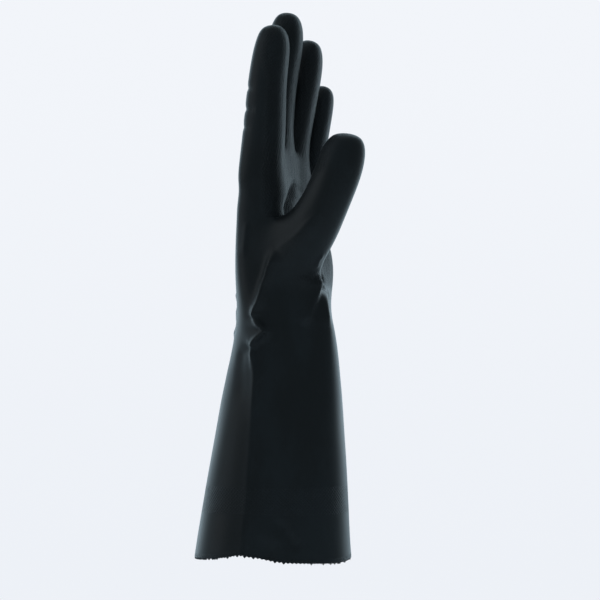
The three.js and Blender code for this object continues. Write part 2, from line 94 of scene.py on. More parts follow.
# Sections of the sleeve and palm in millimetres. depth and width are half sizes. back and palm say how
# square the two sides of the section are: 2 for an ellipse, more for a flat side with tight corners.
# arch brings the little finger's side towards the palm, slope lowers it, turn turns the section in
# degrees, and grip is 1 where the palm side has the grip pattern.
Section = namedtuple("Section", "z x depth width back palm arch slope turn grip")
TRUNK = [
    Section(0, 0, 51.6, 46, 2.5, 2.6, 0, 0, 15, 0),
    Section(12, 0.4, 50.3, 45.4, 2.5, 2.6, 0, 0, 15, 0),
    Section(28, 1.4, 48.7, 44.6, 2.5, 2.7, 0, 0, 15, 0),
    Section(46, 2.5, 46.8, 43.5, 2.5, 2.7, 0, 0, 15, 0),
    Section(64, 3.7, 44.7, 42.5, 2.5, 2.8, 0, 0, 15, 0),
    Section(84, 4.9, 42.1, 41.6, 2.5, 2.8, 0, 0, 15, 0),
    Section(104, 6, 39.8, 41, 2.4, 3.4, 0, 0, 15, 0),
    Section(118, 6.9, 37.5, 41, 2.4, 4, 0, 0, 15, 0),
    Section(131, 7.7, 35.6, 41.2, 2.4, 4.5, 0, 0, 15, 0),
    Section(143, 8.2, 33.6, 41.6, 2.6, 5.5, 0, 0, 15, 0),
    Section(156, 7.9, 31.4, 42.2, 3, 10, 0.5, 0, 15, 0),
    Section(168, 6.4, 29.5, 43, 4, 11, 1.8, 0, 13, 0.3),
    Section(184, 4.7, 27, 44, 4.5, 11, 5, 1, 8, 0.8),
    Section(202, 3.3, 22.6, 44.6, 5, 6, 7.6, 4, 2, 1),
    Section(221, 2.4, 18.5, 45, 5, 3, 10, 8, 0, 1),
    Section(231, 2.1, 17, 45.3, 5, 3.2, 10.5, 10.5, 0, 1),
    Section(240, 1.8, 15.9, 45.5, 5, 6, 11, 13, 0, 1),
]
ELLIPSE_POWER = 2
FLAT_REACH = 0.95  # how far across a flat side its last points stand, as a share of the half width
ARCH_START = 0.2  # how far to the thumb's side of the middle the arch begins, likewise
UNDER_WEBS = 7  # how far below the fingers' foot the last ring of the palm stands, in millimetres
EDGE_GRIP = 0.5  # grip between the palm's side and the back's
TOP = (len(TRUNK) + 1) * RING  # number of the first point of the ring that the fingers stand on

# Foot of the fingers, a row for each column from the index finger's outer side to the little
# finger's, in millimetres. drop lowers the back of the hand below the palm.
Foot = namedtuple("Foot", "y x z depth drop")
KNUCKLES = [
    Foot(-45.5, 1.5, 256, 12.8, 3),
    Foot(-34.5, 1.6, 259, 15.4, 6),
    Foot(-23, 2.2, 267, 12.2, 9),
    Foot(-11.5, 1.6, 263, 14.6, 6),
    Foot(0.3, 3.2, 265, 13, 9),
    Foot(12, 5.6, 259, 14.6, 6),
    Foot(23, 8, 249.5, 11.2, 9),
    Foot(33, 12, 246, 12.6, 6),
    Foot(42, 15, 243, 6.5, 3),
]
SIDE_BULGE = 2.5  # how far the outer fingers' sides stand out at the foot, in millimetres
MIDDLE_DROP = 1 / 3  # share of the drop half way between the palm's side and the back's

# Sections of a finger above its foot, in millimetres. depth and width are half sizes.
Joint = namedtuple("Joint", "x y z depth width")
FINGERS = {
    "index": [
        Joint(3.3, -35.8, 275, 13.4, 11.8),
        Joint(4.7, -36.6, 293, 12.8, 11.6),
        Joint(6.2, -37.6, 311, 11.9, 11.2),
        Joint(8.9, -38.5, 327, 11.6, 10.9),
        Joint(10.8, -39, 338.5, 10.1, 9.7),
        Joint(10.4, -39.3, 345, 6.4, 6.2),
    ],
    "middle": [
        Joint(2.4, -12, 281, 13.1, 11.8),
        Joint(4.6, -12.6, 300, 12.5, 11.6),
        Joint(7.9, -13.2, 319, 11.7, 11.3),
        Joint(11.8, -13.8, 336.5, 11.5, 10.7),
        Joint(13.3, -14.2, 348, 9.9, 9.5),
        Joint(13.8, -14.4, 355, 6.2, 6),
    ],
    "ring": [
        Joint(6.8, 12.4, 274, 13.2, 11.3),
        Joint(11, 13, 291, 12.4, 11.1),
        Joint(15, 13.6, 308, 11.4, 10.8),
        Joint(18.3, 14.2, 322, 10.6, 10.3),
        Joint(20, 14.6, 332.5, 9.2, 9.1),
        Joint(21.2, 14.8, 339.2, 5.9, 5.8),
    ],
    "little": [
        Joint(14, 34.4, 260, 10.6, 10),
        Joint(16.5, 35.2, 273, 10, 9.7),
        Joint(19.1, 36.2, 285.5, 9.4, 9.3),
        Joint(21.7, 37, 297, 8.7, 8.7),
        Joint(23.6, 37.6, 305.5, 7.6, 7.6),
        Joint(24.7, 37.9, 310.6, 4.9, 4.8),
    ],
}
PALM_SQUARE = 1.2  # how far the corners of a finger's palm side stand out, 1 for a round finger
TIP_SECTIONS = 3  # sections at a digit's end where the grip pattern wraps round it
TIP_GRIP = 0.3  # how much further round the grip pattern reaches there
FINGER_ACROSS = Vector((0, 1, 0))
TIP_DOME = 2  # rise of each tip's centre, in millimetres
OCTAGON_LIMIT = (4 + 2 * math.cos(math.pi / 4)) / 6  # size of a smoothed octagon over its cage's

# The thumb grows out of the palm's near corner. face is the way that each section looks.
ThumbJoint = namedtuple("ThumbJoint", "x y z depth width face")
THUMB = [
    ThumbJoint(34.8, -39.5, 211.6, 16, 16, (0.6, -0.4, 0.7)),
    ThumbJoint(44.4, -45, 223.5, 14.2, 14.6, (0.46, -0.26, 0.85)),
    ThumbJoint(52.2, -48.6, 237.5, 13.6, 14, (0.4, -0.18, 0.9)),
    ThumbJoint(58.8, -51, 252.5, 13.2, 14.4, (0.33, -0.12, 0.94)),
    ThumbJoint(63, -52.4, 266, 12, 13.2, (0.24, -0.1, 0.97)),
    ThumbJoint(64.8, -53, 273.6, 7.8, 8.6, (0.2, -0.1, 0.97)),
]
THUMB_ACROSS = Vector((-0.75, -0.66, 0))
THUMB_LOWEST = 12  # trunk section at the lowest corner of the thumb's foot
THUMB_STATION = RING - 3  # station at the palm's side of the thumb's foot

# Soft swellings and hollows of the hand's form, in millimetres.
Mound = namedtuple("Mound", "name x y z reach height")
MOUNDS = [
    Mound("heel of the thumb", 30, -26, 196, 22, 5),
    Mound("heel of the little finger", 32, 28, 196, 20, 0.8),
    Mound("hollow of the palm", 18, -2, 216, 18, -2.8),
    Mound("pad under the index finger", 16, -34, 240, 16, 1),
    Mound("pad under the middle finger", 18, -11, 250, 14, 1.2),
    Mound("pad under the ring finger", 20, 12, 245, 16, 1.8),
    Mound("index knuckle", -14, -33, 228, 10, 1.6),
    Mound("middle knuckle", -13, -10, 234, 10, 2),
    Mound("ring knuckle", -10, 12, 230, 10, 2),
    Mound("little knuckle", -3, 32, 221, 10, 2),
    Mound("hollow between thumb and index finger", 2, -44, 206, 15, -2.4),
]

# Rises of the mouth's cut edge, in degrees from the palm's side and millimetres.
Rise = namedtuple("Rise", "angle spread height")
MOUTH_RISES = [
    Rise(-96, 24, 4.6),
    Rise(-128, 26, 1.9),
    Rise(-102, 5, 0.9),
    Rise(-165, 30, 1.6),
    Rise(18, 28, 2.2),
    Rise(-50, 20, 0.5),
    Rise(74, 26, 3.5),
]
MOUTH_WAVE_HEIGHT = 40  # how far up the sleeve the mouth's waves reach, in millimetres

# Lines that more than one fold follows.
TENDON = [(-1.8, 191), (-3.8, 184.5), (-6, 179), (-8.8, 169.2)]
SLEEVE_CREASE = [(-11.8, 129.8), (-10.4, 120), (-11.1, 110), (-12.2, 98)]

# Folds of the rubber, drawn on the skin as seen from a side (degrees round the glove, 0 from the
# thumb's side, 90 from the palm's). line holds points as (millimetres right of the sleeve's middle,
# height). height is the ridge's height, or a furrow's depth if below zero, width is where it has faded
# to a third, sharp is 2 for a rounded fold and less for a crisp one, skew widens the flank on the left
# of the line's way and narrows the other, and fade_in and fade_out are the lengths of its soft ends.
Fold = namedtuple("Fold", "name side height width sharp skew fade_in fade_out line")
FOLDS = [
    Fold("crest of the tendon and the wrist", 15, 2.1, 1.9, 1.6, 0, 12, 24,
         [(0.5, 197.5), *TENDON, (-11.2, 162.6), (-11.6, 158.7), (-8.8, 154), (-5.2, 149.5), (-8.4, 145.6),
          (-10.8, 142.5), (-12.8, 136.4), (-12.4, 129.8), (-11.6, 121)]),
    Fold("tendon ridge of the thumb", 15, 3.6, 3.8, 1.6, 0.15, 10, 4,
         [(3, 203), (1, 199.8), *TENDON, (-11.2, 163), (-11.6, 157)]),
    Fold("upper edge of the thumb's back", 15, 0.7, 3, 1.6, 0.4, 12, 6,
         [(34, 230), (26.2, 223.5), (15.7, 213), (7.9, 207), (1, 201)]),
    Fold("lower edge of the thumb's back", 15, 1.1, 5, 1.8, -0.4, 10, 10,
         [(30.2, 222.3), (23.6, 214.4), (18.4, 207.9), (11.8, 197.4), (7, 188)]),
    Fold("wrist pinch", 15, 3.6, 5, 1.6, -0.45, 9, 6,
         [(-11.8, 162.5), (-8.6, 155), (-5.2, 149.8), (-8.2, 145.8), (-11, 142), (-12.7, 136)]),
    Fold("sleeve crease, crisp upper part", 15, 1.5, 2.6, 1.5, -0.2, 4, 30,
         [(-11, 142.5), (-12.6, 136.4), *SLEEVE_CREASE, (-13.2, 84)]),
    Fold("sleeve crease, thumb side", 15, 1.2, 3.6, 1.3, 0, 5, 0,
         [(-12.6, 138), *SLEEVE_CREASE, (-13.4, 77.4), (-16.5, 38), (-19.3, 8), (-20.3, -3)]),
    Fold("flat side left of the crease", 15, 2.6, 13, 1.4, -0.6, 22, 0,
         [(-12.6, 141), (-10.9, 125), (-12.1, 101.6), (-13.8, 77.4), (-16.5, 38), (-20.3, -3)]),
    Fold("hollow left of the crease", 15, -1.1, 4.5, 2, 0, 6, 14,
         [(-20.5, 139), (-20.5, 128), (-20, 117), (-21, 98)]),
    Fold("short side fold", 15, 0.55, 1.5, 1.6, 0.3, 5, 7,
         [(-9.8, 140), (-7.2, 129.8), (-6.9, 122), (-8.5, 113)]),
    Fold("wrist fold under the thumb", 15, 3, 4.4, 1.8, 0, 6, 10,
         [(29.5, 185.6), (29.8, 179), (29.4, 175), (28.4, 171), (26.8, 165.9), (23.8, 159.3), (18, 151.5)]),
    Fold("furrow beside the wrist fold", 15, -2.2, 3.2, 1.8, 0, 6, 14,
         [(33, 186), (33, 179), (32.2, 175), (31.2, 171), (29.6, 165.9), (26.8, 159.3), (22.4, 152)]),
    Fold("roll beside the wrist fold", 15, 1.4, 3.4, 2, 0, 6, 10,
         [(34.4, 176), (34.6, 170), (35.2, 163), (35.8, 156), (36.2, 149)]),
    Fold("curl under the thumb", 15, 0.9, 1.8, 1.8, 0, 2, 3,
         [(33.5, 198.5), (30.8, 196.5), (29, 193), (29.3, 189.8)]),
    Fold("line behind the index knuckle", 15, 0.9, 2.4, 1.8, -0.2, 6, 8,
         [(-16.6, 222), (-17.6, 214), (-18.6, 205), (-19.7, 196)]),
    Fold("hollow of the thumb's web in the palm", 90, -4.5, 5.5, 1.8, 0, 14, 6,
         [(-7, 249), (-13, 240.5), (-20, 232.5), (-26, 224), (-30, 216)]),
    Fold("hollow beside the palm's near corner", 90, -2.5, 6, 1.8, 0, 10, 6,
         [(-16, 240), (-22, 234), (-29, 228), (-34, 222)]),
    Fold("knuckle wrinkle, index finger, upper", -90, -0.8, 1.7, 1.8, 0, 5, 5,
         [(28, 304.5), (38, 306), (48, 304.5)]),
    Fold("knuckle wrinkle, index finger, middle", -90, -0.9, 1.8, 1.8, 0, 5, 5,
         [(27, 291), (38, 292.6), (48, 291)]),
    Fold("knuckle wrinkle, index finger, lower", -90, -0.6, 1.8, 1.8, 0, 5, 5,
         [(28, 280), (38, 281), (47, 279.5)]),
    Fold("knuckle wrinkle, middle finger, upper", -90, -0.7, 1.8, 1.8, 0, 5, 5,
         [(4, 314.5), (13.5, 316), (22, 314.5)]),
    Fold("knuckle wrinkle, middle finger, lower", -90, -0.8, 1.8, 1.8, 0, 5, 5,
         [(4, 300.5), (13, 302), (22, 300.5)]),
    Fold("knuckle wrinkle, ring finger", -90, -0.8, 1.8, 1.8, 0, 5, 5,
         [(-22, 295.5), (-13.5, 297), (-5, 295.5)]),
    Fold("knuckle wrinkle, little finger", -90, -0.7, 1.7, 1.8, 0, 4, 4,
         [(-43, 275), (-36, 276.5), (-29, 275)]),
    Fold("back of the wrist, upper wrinkle", -90, 1.2, 3, 1.7, 0, 10, 10,
         [(20, 169), (8, 173), (-8, 171), (-26, 163)]),
    Fold("back of the wrist, lower wrinkle", -90, 1.0, 3, 1.7, 0, 10, 10,
         [(14, 149), (2, 147.5), (-18, 151), (-32, 158)]),
    Fold("back of the wrist, cross wrinkle", -90, 0.8, 2.4, 1.7, 0, 8, 8,
         [(14, 166), (4, 158), (-10, 153)]),
    Fold("line between the heels of the palm", 90, -1.5, 5, 2, 0, 14, 12,
         [(4, 222), (1, 206), (0, 190), (2, 176)]),
    Fold("wrist fold of the palm, upper", 90, 1.2, 3.2, 1.7, 0, 12, 12,
         [(-22, 172), (-6, 178), (12, 176), (28, 168)]),
    Fold("wrist fold of the palm, lower", 90, -1.2, 3.4, 1.8, 0, 12, 12,
         [(-14, 162), (4, 167), (20, 163)]),
    Fold("palm line under the fingers", 90, -0.7, 2.6, 1.8, 0, 10, 10,
         [(34, 226), (18, 236), (-2, 242), (-20, 244)]),
    Fold("sleeve crease, little finger's side", 180, 1.0, 4.6, 1.6, 0, 16, 0,
         [(-6, 146), (-7, 104), (-5, 60), (-2, 4), (-2, -3)]),
    Fold("dent near the mouth", 15, -1.4, 4, 2, 0, 10, 4,
         [(1, 27), (8, 16), (17, 4)]),
    Fold("swelling near the mouth", 15, 1.2, 6, 2, 0, 8, 8,
         [(-12, 20), (-4, 16), (6, 7)]),
]
FOLD_REACH = 3.5  # how far from its line a fold is felt, in widths
TRACE_STEPS = 10  # fewest steps between two points of a line
TRACE_GAP = 0.6  # longest of those steps, in millimetres
CRISP_WIDTH = 4.5  # folds narrower than this get a finer skin, in millimetres
CRISP_REACH = 1.4  # how far from their lines the skin is finer, in widths
CRISP_MARGIN = 0.5  # and how much further still, in millimetres
PLAIN_RIM = 8  # height above the mouth where the finer skin begins, in millimetres
LEAST_LIFT = 1e-4  # share of the highest lift below which a point stays where it is

# Teeth of the pinked rim, as shares of their depth and of their number.
TOOTH_ROOT = 0.2  # depth of the whole rim above the teeth
SHORT_TOOTH = 0.5  # what a short tooth lacks
LONG_TEETH = 0.5  # how many are long
TOOTH_SEED = 4

# Where the folds and the camera look from, in metres from the middle of the sleeve's mouth.
EYE_DISTANCE = 2.0
EYE_RIGHT = 17.7 * MM
EYE_HEIGHT = 169.2 * MM

# The rubber's patterns. Heights are shares of a grip diamond's height. A pair is where a change begins
# and ends. Noise is finer where its scale is greater, and drawn out where its stretch is below 1.
DIAMOND_FLANK = (0.06, 0.26)
GRIP_EDGE = (0.5, 0.85)
GRIP_STRETCH = 1.15
BAND_EDGE = 1.5 * MM
BAND_HEIGHT = 0.45
WRINKLE_HEIGHT = 1.4
WRINKLE_SCALE = 420.0
WRINKLE_STRETCH = (1.0, 1.0, 0.06)
CLOUD_SCALE = 34.0
CLOUD_STRETCH = (1.0, 1.0, 0.45)
CLOUD_SPREAD = (0.3, 0.7)
BLOOM_EDGE = (0.42, 0.68)
CHALK_BLOOM = 0.1
ROUGHNESS_SPREAD = (-0.04, 0.05)
GRIP_ROUGHNESS = 0.02
GRAIN_SCALE = 900.0
GRAIN_HEIGHT = 0.04 * MM
GRAIN_STRENGTH = 0.6

# The studio. Softboxes stand right, outward and up from the mouth's middle as the camera sees it, in
# metres, and share is their power over the left one's.
Softbox = namedtuple("Softbox", "name right outward up width height share")
SOFTBOXES = [
    Softbox("left softbox", -1.3, 0.1, 0.5, 0.9, 1.4, 1.0),
    Softbox("right softbox", 1.2, -0.9, 0.4, 0.9, 1.4, 0.3),
    Softbox("top softbox", 0.0, -0.1, 1.5, 1.0, 1.0, 0.5),
]
SOFTBOX_AIM = 0.18  # height that the softboxes are turned to, in metres
SOFTBOX_COLOUR = (0.92, 0.96, 1.0)
STUDIO_COLOUR = (0.68, 0.88, 1.0)
STUDIO_GLOW = (0.35, 0.95)  # where the studio's bright back begins and ends, as a cosine
BACKDROP_BLEND = (-0.1, 0.1)  # where the backdrop's two colours meet, as a sine of the height
FLOOR_RADIUS = 0.75
FLOOR_CORNERS = 96
FLOOR_ROUGHNESS = 0.6
SENSOR_WIDTH = 36  # of the camera, in millimetres


# Places on the glove

def ring_share(station, flat):
    """A station's share of the way across the hand, from -1 to 1, and its side: -1 for the back, 1 for
    the palm and 0 between them. flat is 0 on an ellipse and 1 on flat sides."""
    if station == FAR_EDGE:
        return 1.0, 0
    if station == NEAR_EDGE:
        return -1.0, 0
    on_back = station <= COLUMNS
    column = station if on_back else PALM_END - station
    from_middle = column - COLUMNS / 2
    level = from_middle / (COLUMNS / 2)
    round_share = math.sin(from_middle * 2 * math.pi / RING)
    flat_share = math.copysign(min(abs(level), FLAT_REACH), level)
    return round_share + (flat_share - round_share) * flat, -1 if on_back else 1


def trunk_point(row, station):
    """Place of a station on a section of the sleeve or palm, in millimetres."""
    squareness = (row.back + row.palm) / 2 / ELLIPSE_POWER - 1
    across, side = ring_share(station, min(1.0, squareness))
    power = row.palm if side > 0 else row.back
    out = (1 - abs(across) ** power) ** (1 / power)
    x = side * row.depth * out + row.arch * max(0.0, across + ARCH_START) ** 2
    y = across * row.width
    cos, sin = math.cos(math.radians(row.turn)), math.sin(math.radians(row.turn))
    return Vector((row.x + x * cos - y * sin, x * sin + y * cos, row.z - row.slope * (1 + across) / 2))


def knuckle_point(station):
    """Place of a station on the ring that the fingers stand on, in millimetres."""
    if station in (FAR_EDGE, NEAR_EDGE):
        return knuckle_middle(COLUMNS if station == FAR_EDGE else 0)
    on_back = station <= COLUMNS
    foot = KNUCKLES[station if on_back else PALM_END - station]
    if on_back:
        return Vector((foot.x - foot.depth, foot.y, foot.z - foot.drop))
    return Vector((foot.x + foot.depth, foot.y, foot.z))


def knuckle_middle(column):
    """Place between the back and the palm on the ring that the fingers stand on, in millimetres."""
    foot = KNUCKLES[column]
    outer = {0: -SIDE_BULGE, COLUMNS: SIDE_BULGE}.get(column, 0)
    return Vector((foot.x, foot.y + outer, foot.z - foot.drop * MIDDLE_DROP))


# The cage

def deselect_everything():
    """Leaves nothing selected, so that the next operator acts on its own piece only."""
    if bpy.context.object and bpy.context.object.mode != "OBJECT":
        bpy.ops.object.mode_set(mode="OBJECT")
    bpy.ops.object.select_all(action="DESELECT")


class Cage:
    """The coarse mesh in edit mode, with each point's number and its place on the unrolled skin.

    The sleeve and palm number their points section * RING + station, the points between the back and
    the palm go on from there by column, and a digit's points are PATCH * row + column of its foot.
    """

    MEASURES = ("around", "turn", "along", "grip")

    def __init__(self, mesh):
        self.mesh = mesh
        bm = bmesh.from_edit_mesh(mesh)
        bm.verts.layers.int.new("number")
        for name in self.MEASURES:
            bm.verts.layers.float.new(name)
        number = bm.verts.layers.int["number"]
        bm.verts.ensure_lookup_table()
        for index in range(RING):
            bm.verts[index][number] = index
        bmesh.update_edit_mesh(mesh)

    def open(self):
        """The edit mesh and its point layers."""
        bm = bmesh.from_edit_mesh(self.mesh)
        bm.verts.ensure_lookup_table()
        layers = {name: bm.verts.layers.float[name] for name in self.MEASURES}
        layers["number"] = bm.verts.layers.int["number"]
        return bm, layers

    def close(self):
        bmesh.update_edit_mesh(self.mesh)

    def extrude(self):
        """Extrudes what is selected where it stands. The new points keep their numbers."""
        bpy.ops.mesh.extrude_region_move(TRANSFORM_OT_translate={"value": (0, 0, 0)})

    def place_ring(self, section, place, grip):
        """Puts the selected ring on its section and notes each point's place on the unrolled skin."""
        bm, layers = self.open()
        ring = {v[layers["number"]] % RING: v for v in bm.verts if v.select}
        points = [place(k) for k in range(RING)]
        steps = [(points[(k + 1) % RING] - points[k]).length for k in range(RING)]
        turn = sum(steps) * MM
        for k, vert in ring.items():
            vert.co = points[k] * MM
            vert[layers["number"]] = section * RING + k
            distance = sum(steps[(PALM_CENTRE + i) % RING] for i in range((k - PALM_CENTRE) % RING)) * MM
            side = 1.0 if PALM_START <= k <= PALM_END else EDGE_GRIP if k in (FAR_EDGE, NEAR_EDGE) else 0.0
            vert[layers["around"]] = -distance if distance < turn / 2 else turn - distance
            vert[layers["turn"]] = turn
            vert[layers["along"]] = points[k].z * MM
            vert[layers["grip"]] = grip * side
        self.close()

    def select_only(self, wanted):
        """Selects the faces that a test picks, and nothing else."""
        bpy.ops.mesh.select_all(action="DESELECT")
        bm, layers = self.open()
        for face in [f for f in bm.faces if wanted(f, layers)]:
            face.select = True
        self.close()


def fill_top(cage):
    """Closes the ring that the fingers stand on by a grid, and raises its middle line."""
    bm, layers = cage.open()
    corner = next(v for v in bm.verts if v.select and v[layers["number"]] == TOP)
    bm.select_history.clear()
    bm.select_history.add(corner)
    ring = {v.index for v in bm.verts if v.select}
    cage.close()
    bpy.ops.mesh.fill_grid(span=COLUMNS, offset=0)
    bm, layers = cage.open()
    number = layers["number"]
    middles = [v for v in bm.verts if v.select and v.index not in ring]
    if len(middles) != COLUMNS - 1:
        raise RuntimeError("the top of the palm wasn't filled by a grid")
    for vert in middles:
        ends = [e.other_vert(vert) for e in vert.link_edges if e.other_vert(vert).index in ring]
        column = min(v[number] for v in ends) - TOP
        palm = next(v for v in ends if v[number] == TOP + PALM_END - column)
        vert.co = knuckle_middle(column) * MM
        vert[number] = TOP + RING + column
        vert[layers["along"]] = palm[layers["along"]]
        vert[layers["around"]] = palm[layers["around"]]
        vert[layers["turn"]] = palm[layers["turn"]]
        vert[layers["grip"]] = EDGE_GRIP
    cage.close()


def finger_patch(index):
    """Numbers of a finger's foot: its back, its middle and its palm side, across the finger."""
    columns = [2 * index, 2 * index + 1, 2 * index + 2]
    middle = {0: NEAR_EDGE, COLUMNS: FAR_EDGE}
    return [
        [TOP + c for c in columns],
        [TOP + middle.get(c, RING + c) for c in columns],
        [TOP + PALM_END - c for c in columns],
    ]


def thumb_patch():
    """Numbers of the thumb's foot, from its lowest section up."""
    sections = range(THUMB_LOWEST, THUMB_LOWEST + PATCH)
    return [[section * RING + (THUMB_STATION + j) % RING for j in range(PATCH)] for section in sections]


def select_patch(cage, patch):
    """Selects the faces of a digit's foot. Gives its points' places, PATCH * row + column, by their
    numbers, and where the middle of its palm side lies on the unrolled skin."""
    places = {number: PATCH * i + j for i, row in enumerate(patch) for j, number in enumerate(row)}
    cage.select_only(lambda face, layers: all(v[layers["number"]] in places for v in face.verts))
    bm, layers = cage.open()
    chosen = [v for v in bm.verts if v.select]
    if len(chosen) != PATCH * PATCH:
        raise RuntimeError("a digit's foot has %d points in place of %d" % (len(chosen), PATCH * PATCH))
    inner = next(v for v in chosen if v[layers["number"]] == patch[-1][PATCH // 2])
    return places, (inner[layers["around"]], inner[layers["along"]])


def section_axes(rows, across_hint):
    """Centre, facing, across and inward directions of each section of a digit."""
    axes = []
    for i, row in enumerate(rows):
        centre = Vector((row.x, row.y, row.z))
        before, after = rows[max(0, i - 1)], rows[min(len(rows) - 1, i + 1)]
        along = Vector((after.x - before.x, after.y - before.y, after.z - before.z))
        facing = Vector(getattr(row, "face", along)).normalized()
        across = (across_hint - facing * across_hint.dot(facing)).normalized()
        axes.append((centre, facing, across, across.cross(facing)))
    return axes


def grow_digit(cage, patch, rows, across_hint, foot_grip=1.0):
    """Extrudes a digit out of its foot, section by section, and domes its tip. foot_grip is the most
    grip that its first section has."""
    places, (around, along) = select_patch(cage, patch)
    last = None
    axes = section_axes(rows, across_hint)
    for step, (row, (centre, facing, across, inward)) in enumerate(zip(rows, axes)):
        cage.extrude()
        bm, layers = cage.open()
        along += (centre - last).length * MM if last else 0
        last = centre
        radius = (row.depth + row.width) / 2 * MM
        most_grip = 1.0 if step else foot_grip
        wrap = TIP_GRIP if step >= len(rows) - TIP_SECTIONS else 0
        for vert in [v for v in bm.verts if v.select]:
            number = vert[layers["number"]]
            i, j = divmod(places.get(number, number), PATCH)
            inwards, sideways = i - 1, j - 1
            vert[layers["number"]] = PATCH * i + j
            reach = math.hypot(inwards, sideways) or 1
            if inwards > 0 and sideways:
                reach /= PALM_SQUARE
            offset = inward * (inwards / reach * row.depth) + across * (sideways / reach * row.width)
            at_centre = not (inwards or sideways)
            dome = facing * TIP_DOME if row is rows[-1] and at_centre else Vector()
            vert.co = (centre + offset / OCTAGON_LIMIT + dome) * MM
            bend = 0 if at_centre else math.atan2(sideways, inwards)
            vert[layers["around"]] = around + bend * radius
            vert[layers["turn"]] = 2 * math.pi * radius
            vert[layers["along"]] = along
            vert[layers["grip"]] = min(i / (PATCH - 1), most_grip) + wrap
        cage.close()


def unroll(cage):
    """Writes the skin's own map: metres around and metres along, with its seam on the back."""
    bm, layers = cage.open()
    surface = bm.loops.layers.uv.new("surface")
    for face in bm.faces:
        nearest = min((v[layers["around"]] for v in face.verts), key=abs)
        for loop in face.loops:
            around = loop.vert[layers["around"]]
            turn = loop.vert[layers["turn"]]
            if around - nearest > turn / 2:
                around -= turn
            elif nearest - around > turn / 2:
                around += turn
            loop[surface].uv = (around, loop.vert[layers["along"]])
    cage.close()


def build_cage(skin):
    """Extrudes the sleeve, the palm and the digits out of the ring at the mouth."""
    bpy.ops.object.mode_set(mode="EDIT")
    cage = Cage(skin.data)
    for section, row in enumerate(TRUNK):
        if section:
            cage.extrude()
        cage.place_ring(section, lambda k, row=row: trunk_point(row, k), row.grip)
    cage.extrude()
    cage.place_ring(len(TRUNK), lambda k: knuckle_point(k) - Vector((0, 0, UNDER_WEBS)), 1)
    cage.extrude()
    cage.place_ring(len(TRUNK) + 1, knuckle_point, 1)
    fill_top(cage)
    for index, rows in enumerate(FINGERS.values()):
        grow_digit(cage, finger_patch(index), rows, FINGER_ACROSS)
    grow_digit(cage, thumb_patch(), THUMB, THUMB_ACROSS, foot_grip=0.0)
    unroll(cage)
    bpy.ops.mesh.select_all(action="SELECT")
    bpy.ops.mesh.normals_make_consistent(inside=False)
    bpy.ops.object.mode_set(mode="OBJECT")


# Shaping the smoothed skin

def points_of(skin):
    """The skin's points as an array in metres."""
    flat = np.empty(len(skin.data.vertices) * 3)
    skin.data.vertices.foreach_get("co", flat)
    return flat.reshape(-1, 3)


def displace(skin, lifts, name, direction="NORMAL"):
    """Moves each point along its normal or an axis by its lift in metres, by weights."""
    for sign, label in ((1, "raised"), (-1, "sunk")):
        heights = np.clip(lifts * sign, 0, None)
        peak = float(heights.max())
        if peak <= 0:
            continue
        group = skin.vertex_groups.new(name="%s %s" % (name, label))
        for index in np.nonzero(heights > peak * LEAST_LIFT)[0]:
            group.add([int(index)], float(heights[index] / peak), "REPLACE")
        modifier = skin.modifiers.new(group.name, "DISPLACE")
        modifier.vertex_group = group.name
        modifier.direction = direction
        modifier.mid_level = 0
        modifier.strength = sign * peak
    for modifier in list(skin.modifiers):
        bpy.ops.object.modifier_apply(modifier=modifier.name)
    skin.vertex_groups.clear()


def mound_lifts(skin):
    """How far the mounds lift each point of the skin."""
    points = points_of(skin)
    lifts = np.zeros(len(points))
    for mound in MOUNDS:
        centre = np.array((mound.x, mound.y, mound.z)) * MM
        away = np.linalg.norm(points - centre, axis=1) / (mound.reach * MM)
        lifts += mound.height * MM * np.exp(-away * away)
    return lifts


def clock_difference(angle, other):
    """Signed difference of two angles in degrees, between -180 and 180."""
    return (angle - other + 180) % 360 - 180


def mouth_lifts(skin):
    """How far the mouth's waves raise each point of the skin."""
    points = points_of(skin)
    angles = np.degrees(np.arctan2(points[:, 1], points[:, 0]))
    fade = np.clip(1 - points[:, 2] / (MOUTH_WAVE_HEIGHT * MM), 0, 1)
    lifts = np.zeros(len(points))
    for rise in MOUTH_RISES:
        away = clock_difference(angles, rise.angle) / rise.spread
        lifts += rise.height * MM * np.exp(-away * away)
    return lifts * fade


def side_axes(degrees):
    """The directions right and outward, as seen from a side of the glove."""
    turn = math.radians(degrees)
    return Vector((math.cos(turn), math.sin(turn), 0)), Vector((math.sin(turn), -math.cos(turn), 0))


def smooth_line(line):
    """A smooth curve through the points of a line."""
    points = [Vector(p) for p in line]
    ends = [points[0] * 2 - points[1]] + points + [points[-1] * 2 - points[-2]]
    curve = []
    for a, b, c, d in zip(ends, ends[1:], ends[2:], ends[3:]):
        steps = max(TRACE_STEPS, math.ceil((c - b).length / TRACE_GAP))
        for step in range(steps):
            t = step / steps
            bend = 2 * a - 5 * b + 4 * c - d
            twist = 3 * b - a - 3 * c + d
            curve.append(b + ((c - a) * t + bend * t ** 2 + twist * t ** 3) / 2)
    return curve + [points[-1]]


def trace(skin, fold):
    """Where a fold's line lies on the skin, seen from its side: points and normals."""
    right, outward = side_axes(fold.side)
    eye = right * EYE_RIGHT + Vector((0, 0, EYE_HEIGHT)) + outward * EYE_DISTANCE
    places, normals = [], []
    for mark in smooth_line(fold.line):
        aim = right * mark.x * MM + Vector((0, 0, mark.y * MM)) - eye
        hit, place, normal, _ = skin.ray_cast(eye, aim.normalized())
        if hit:
            places.append(place)
            normals.append(normal)
    if len(places) < 2:
        raise RuntimeError("the fold '%s' misses the skin" % fold.name)
    return np.array(places), np.array(normals)


def ramp(value):
    """A smooth step from 0 to 1."""
    share = np.clip(value, 0, 1)
    return share * share * (3 - 2 * share)


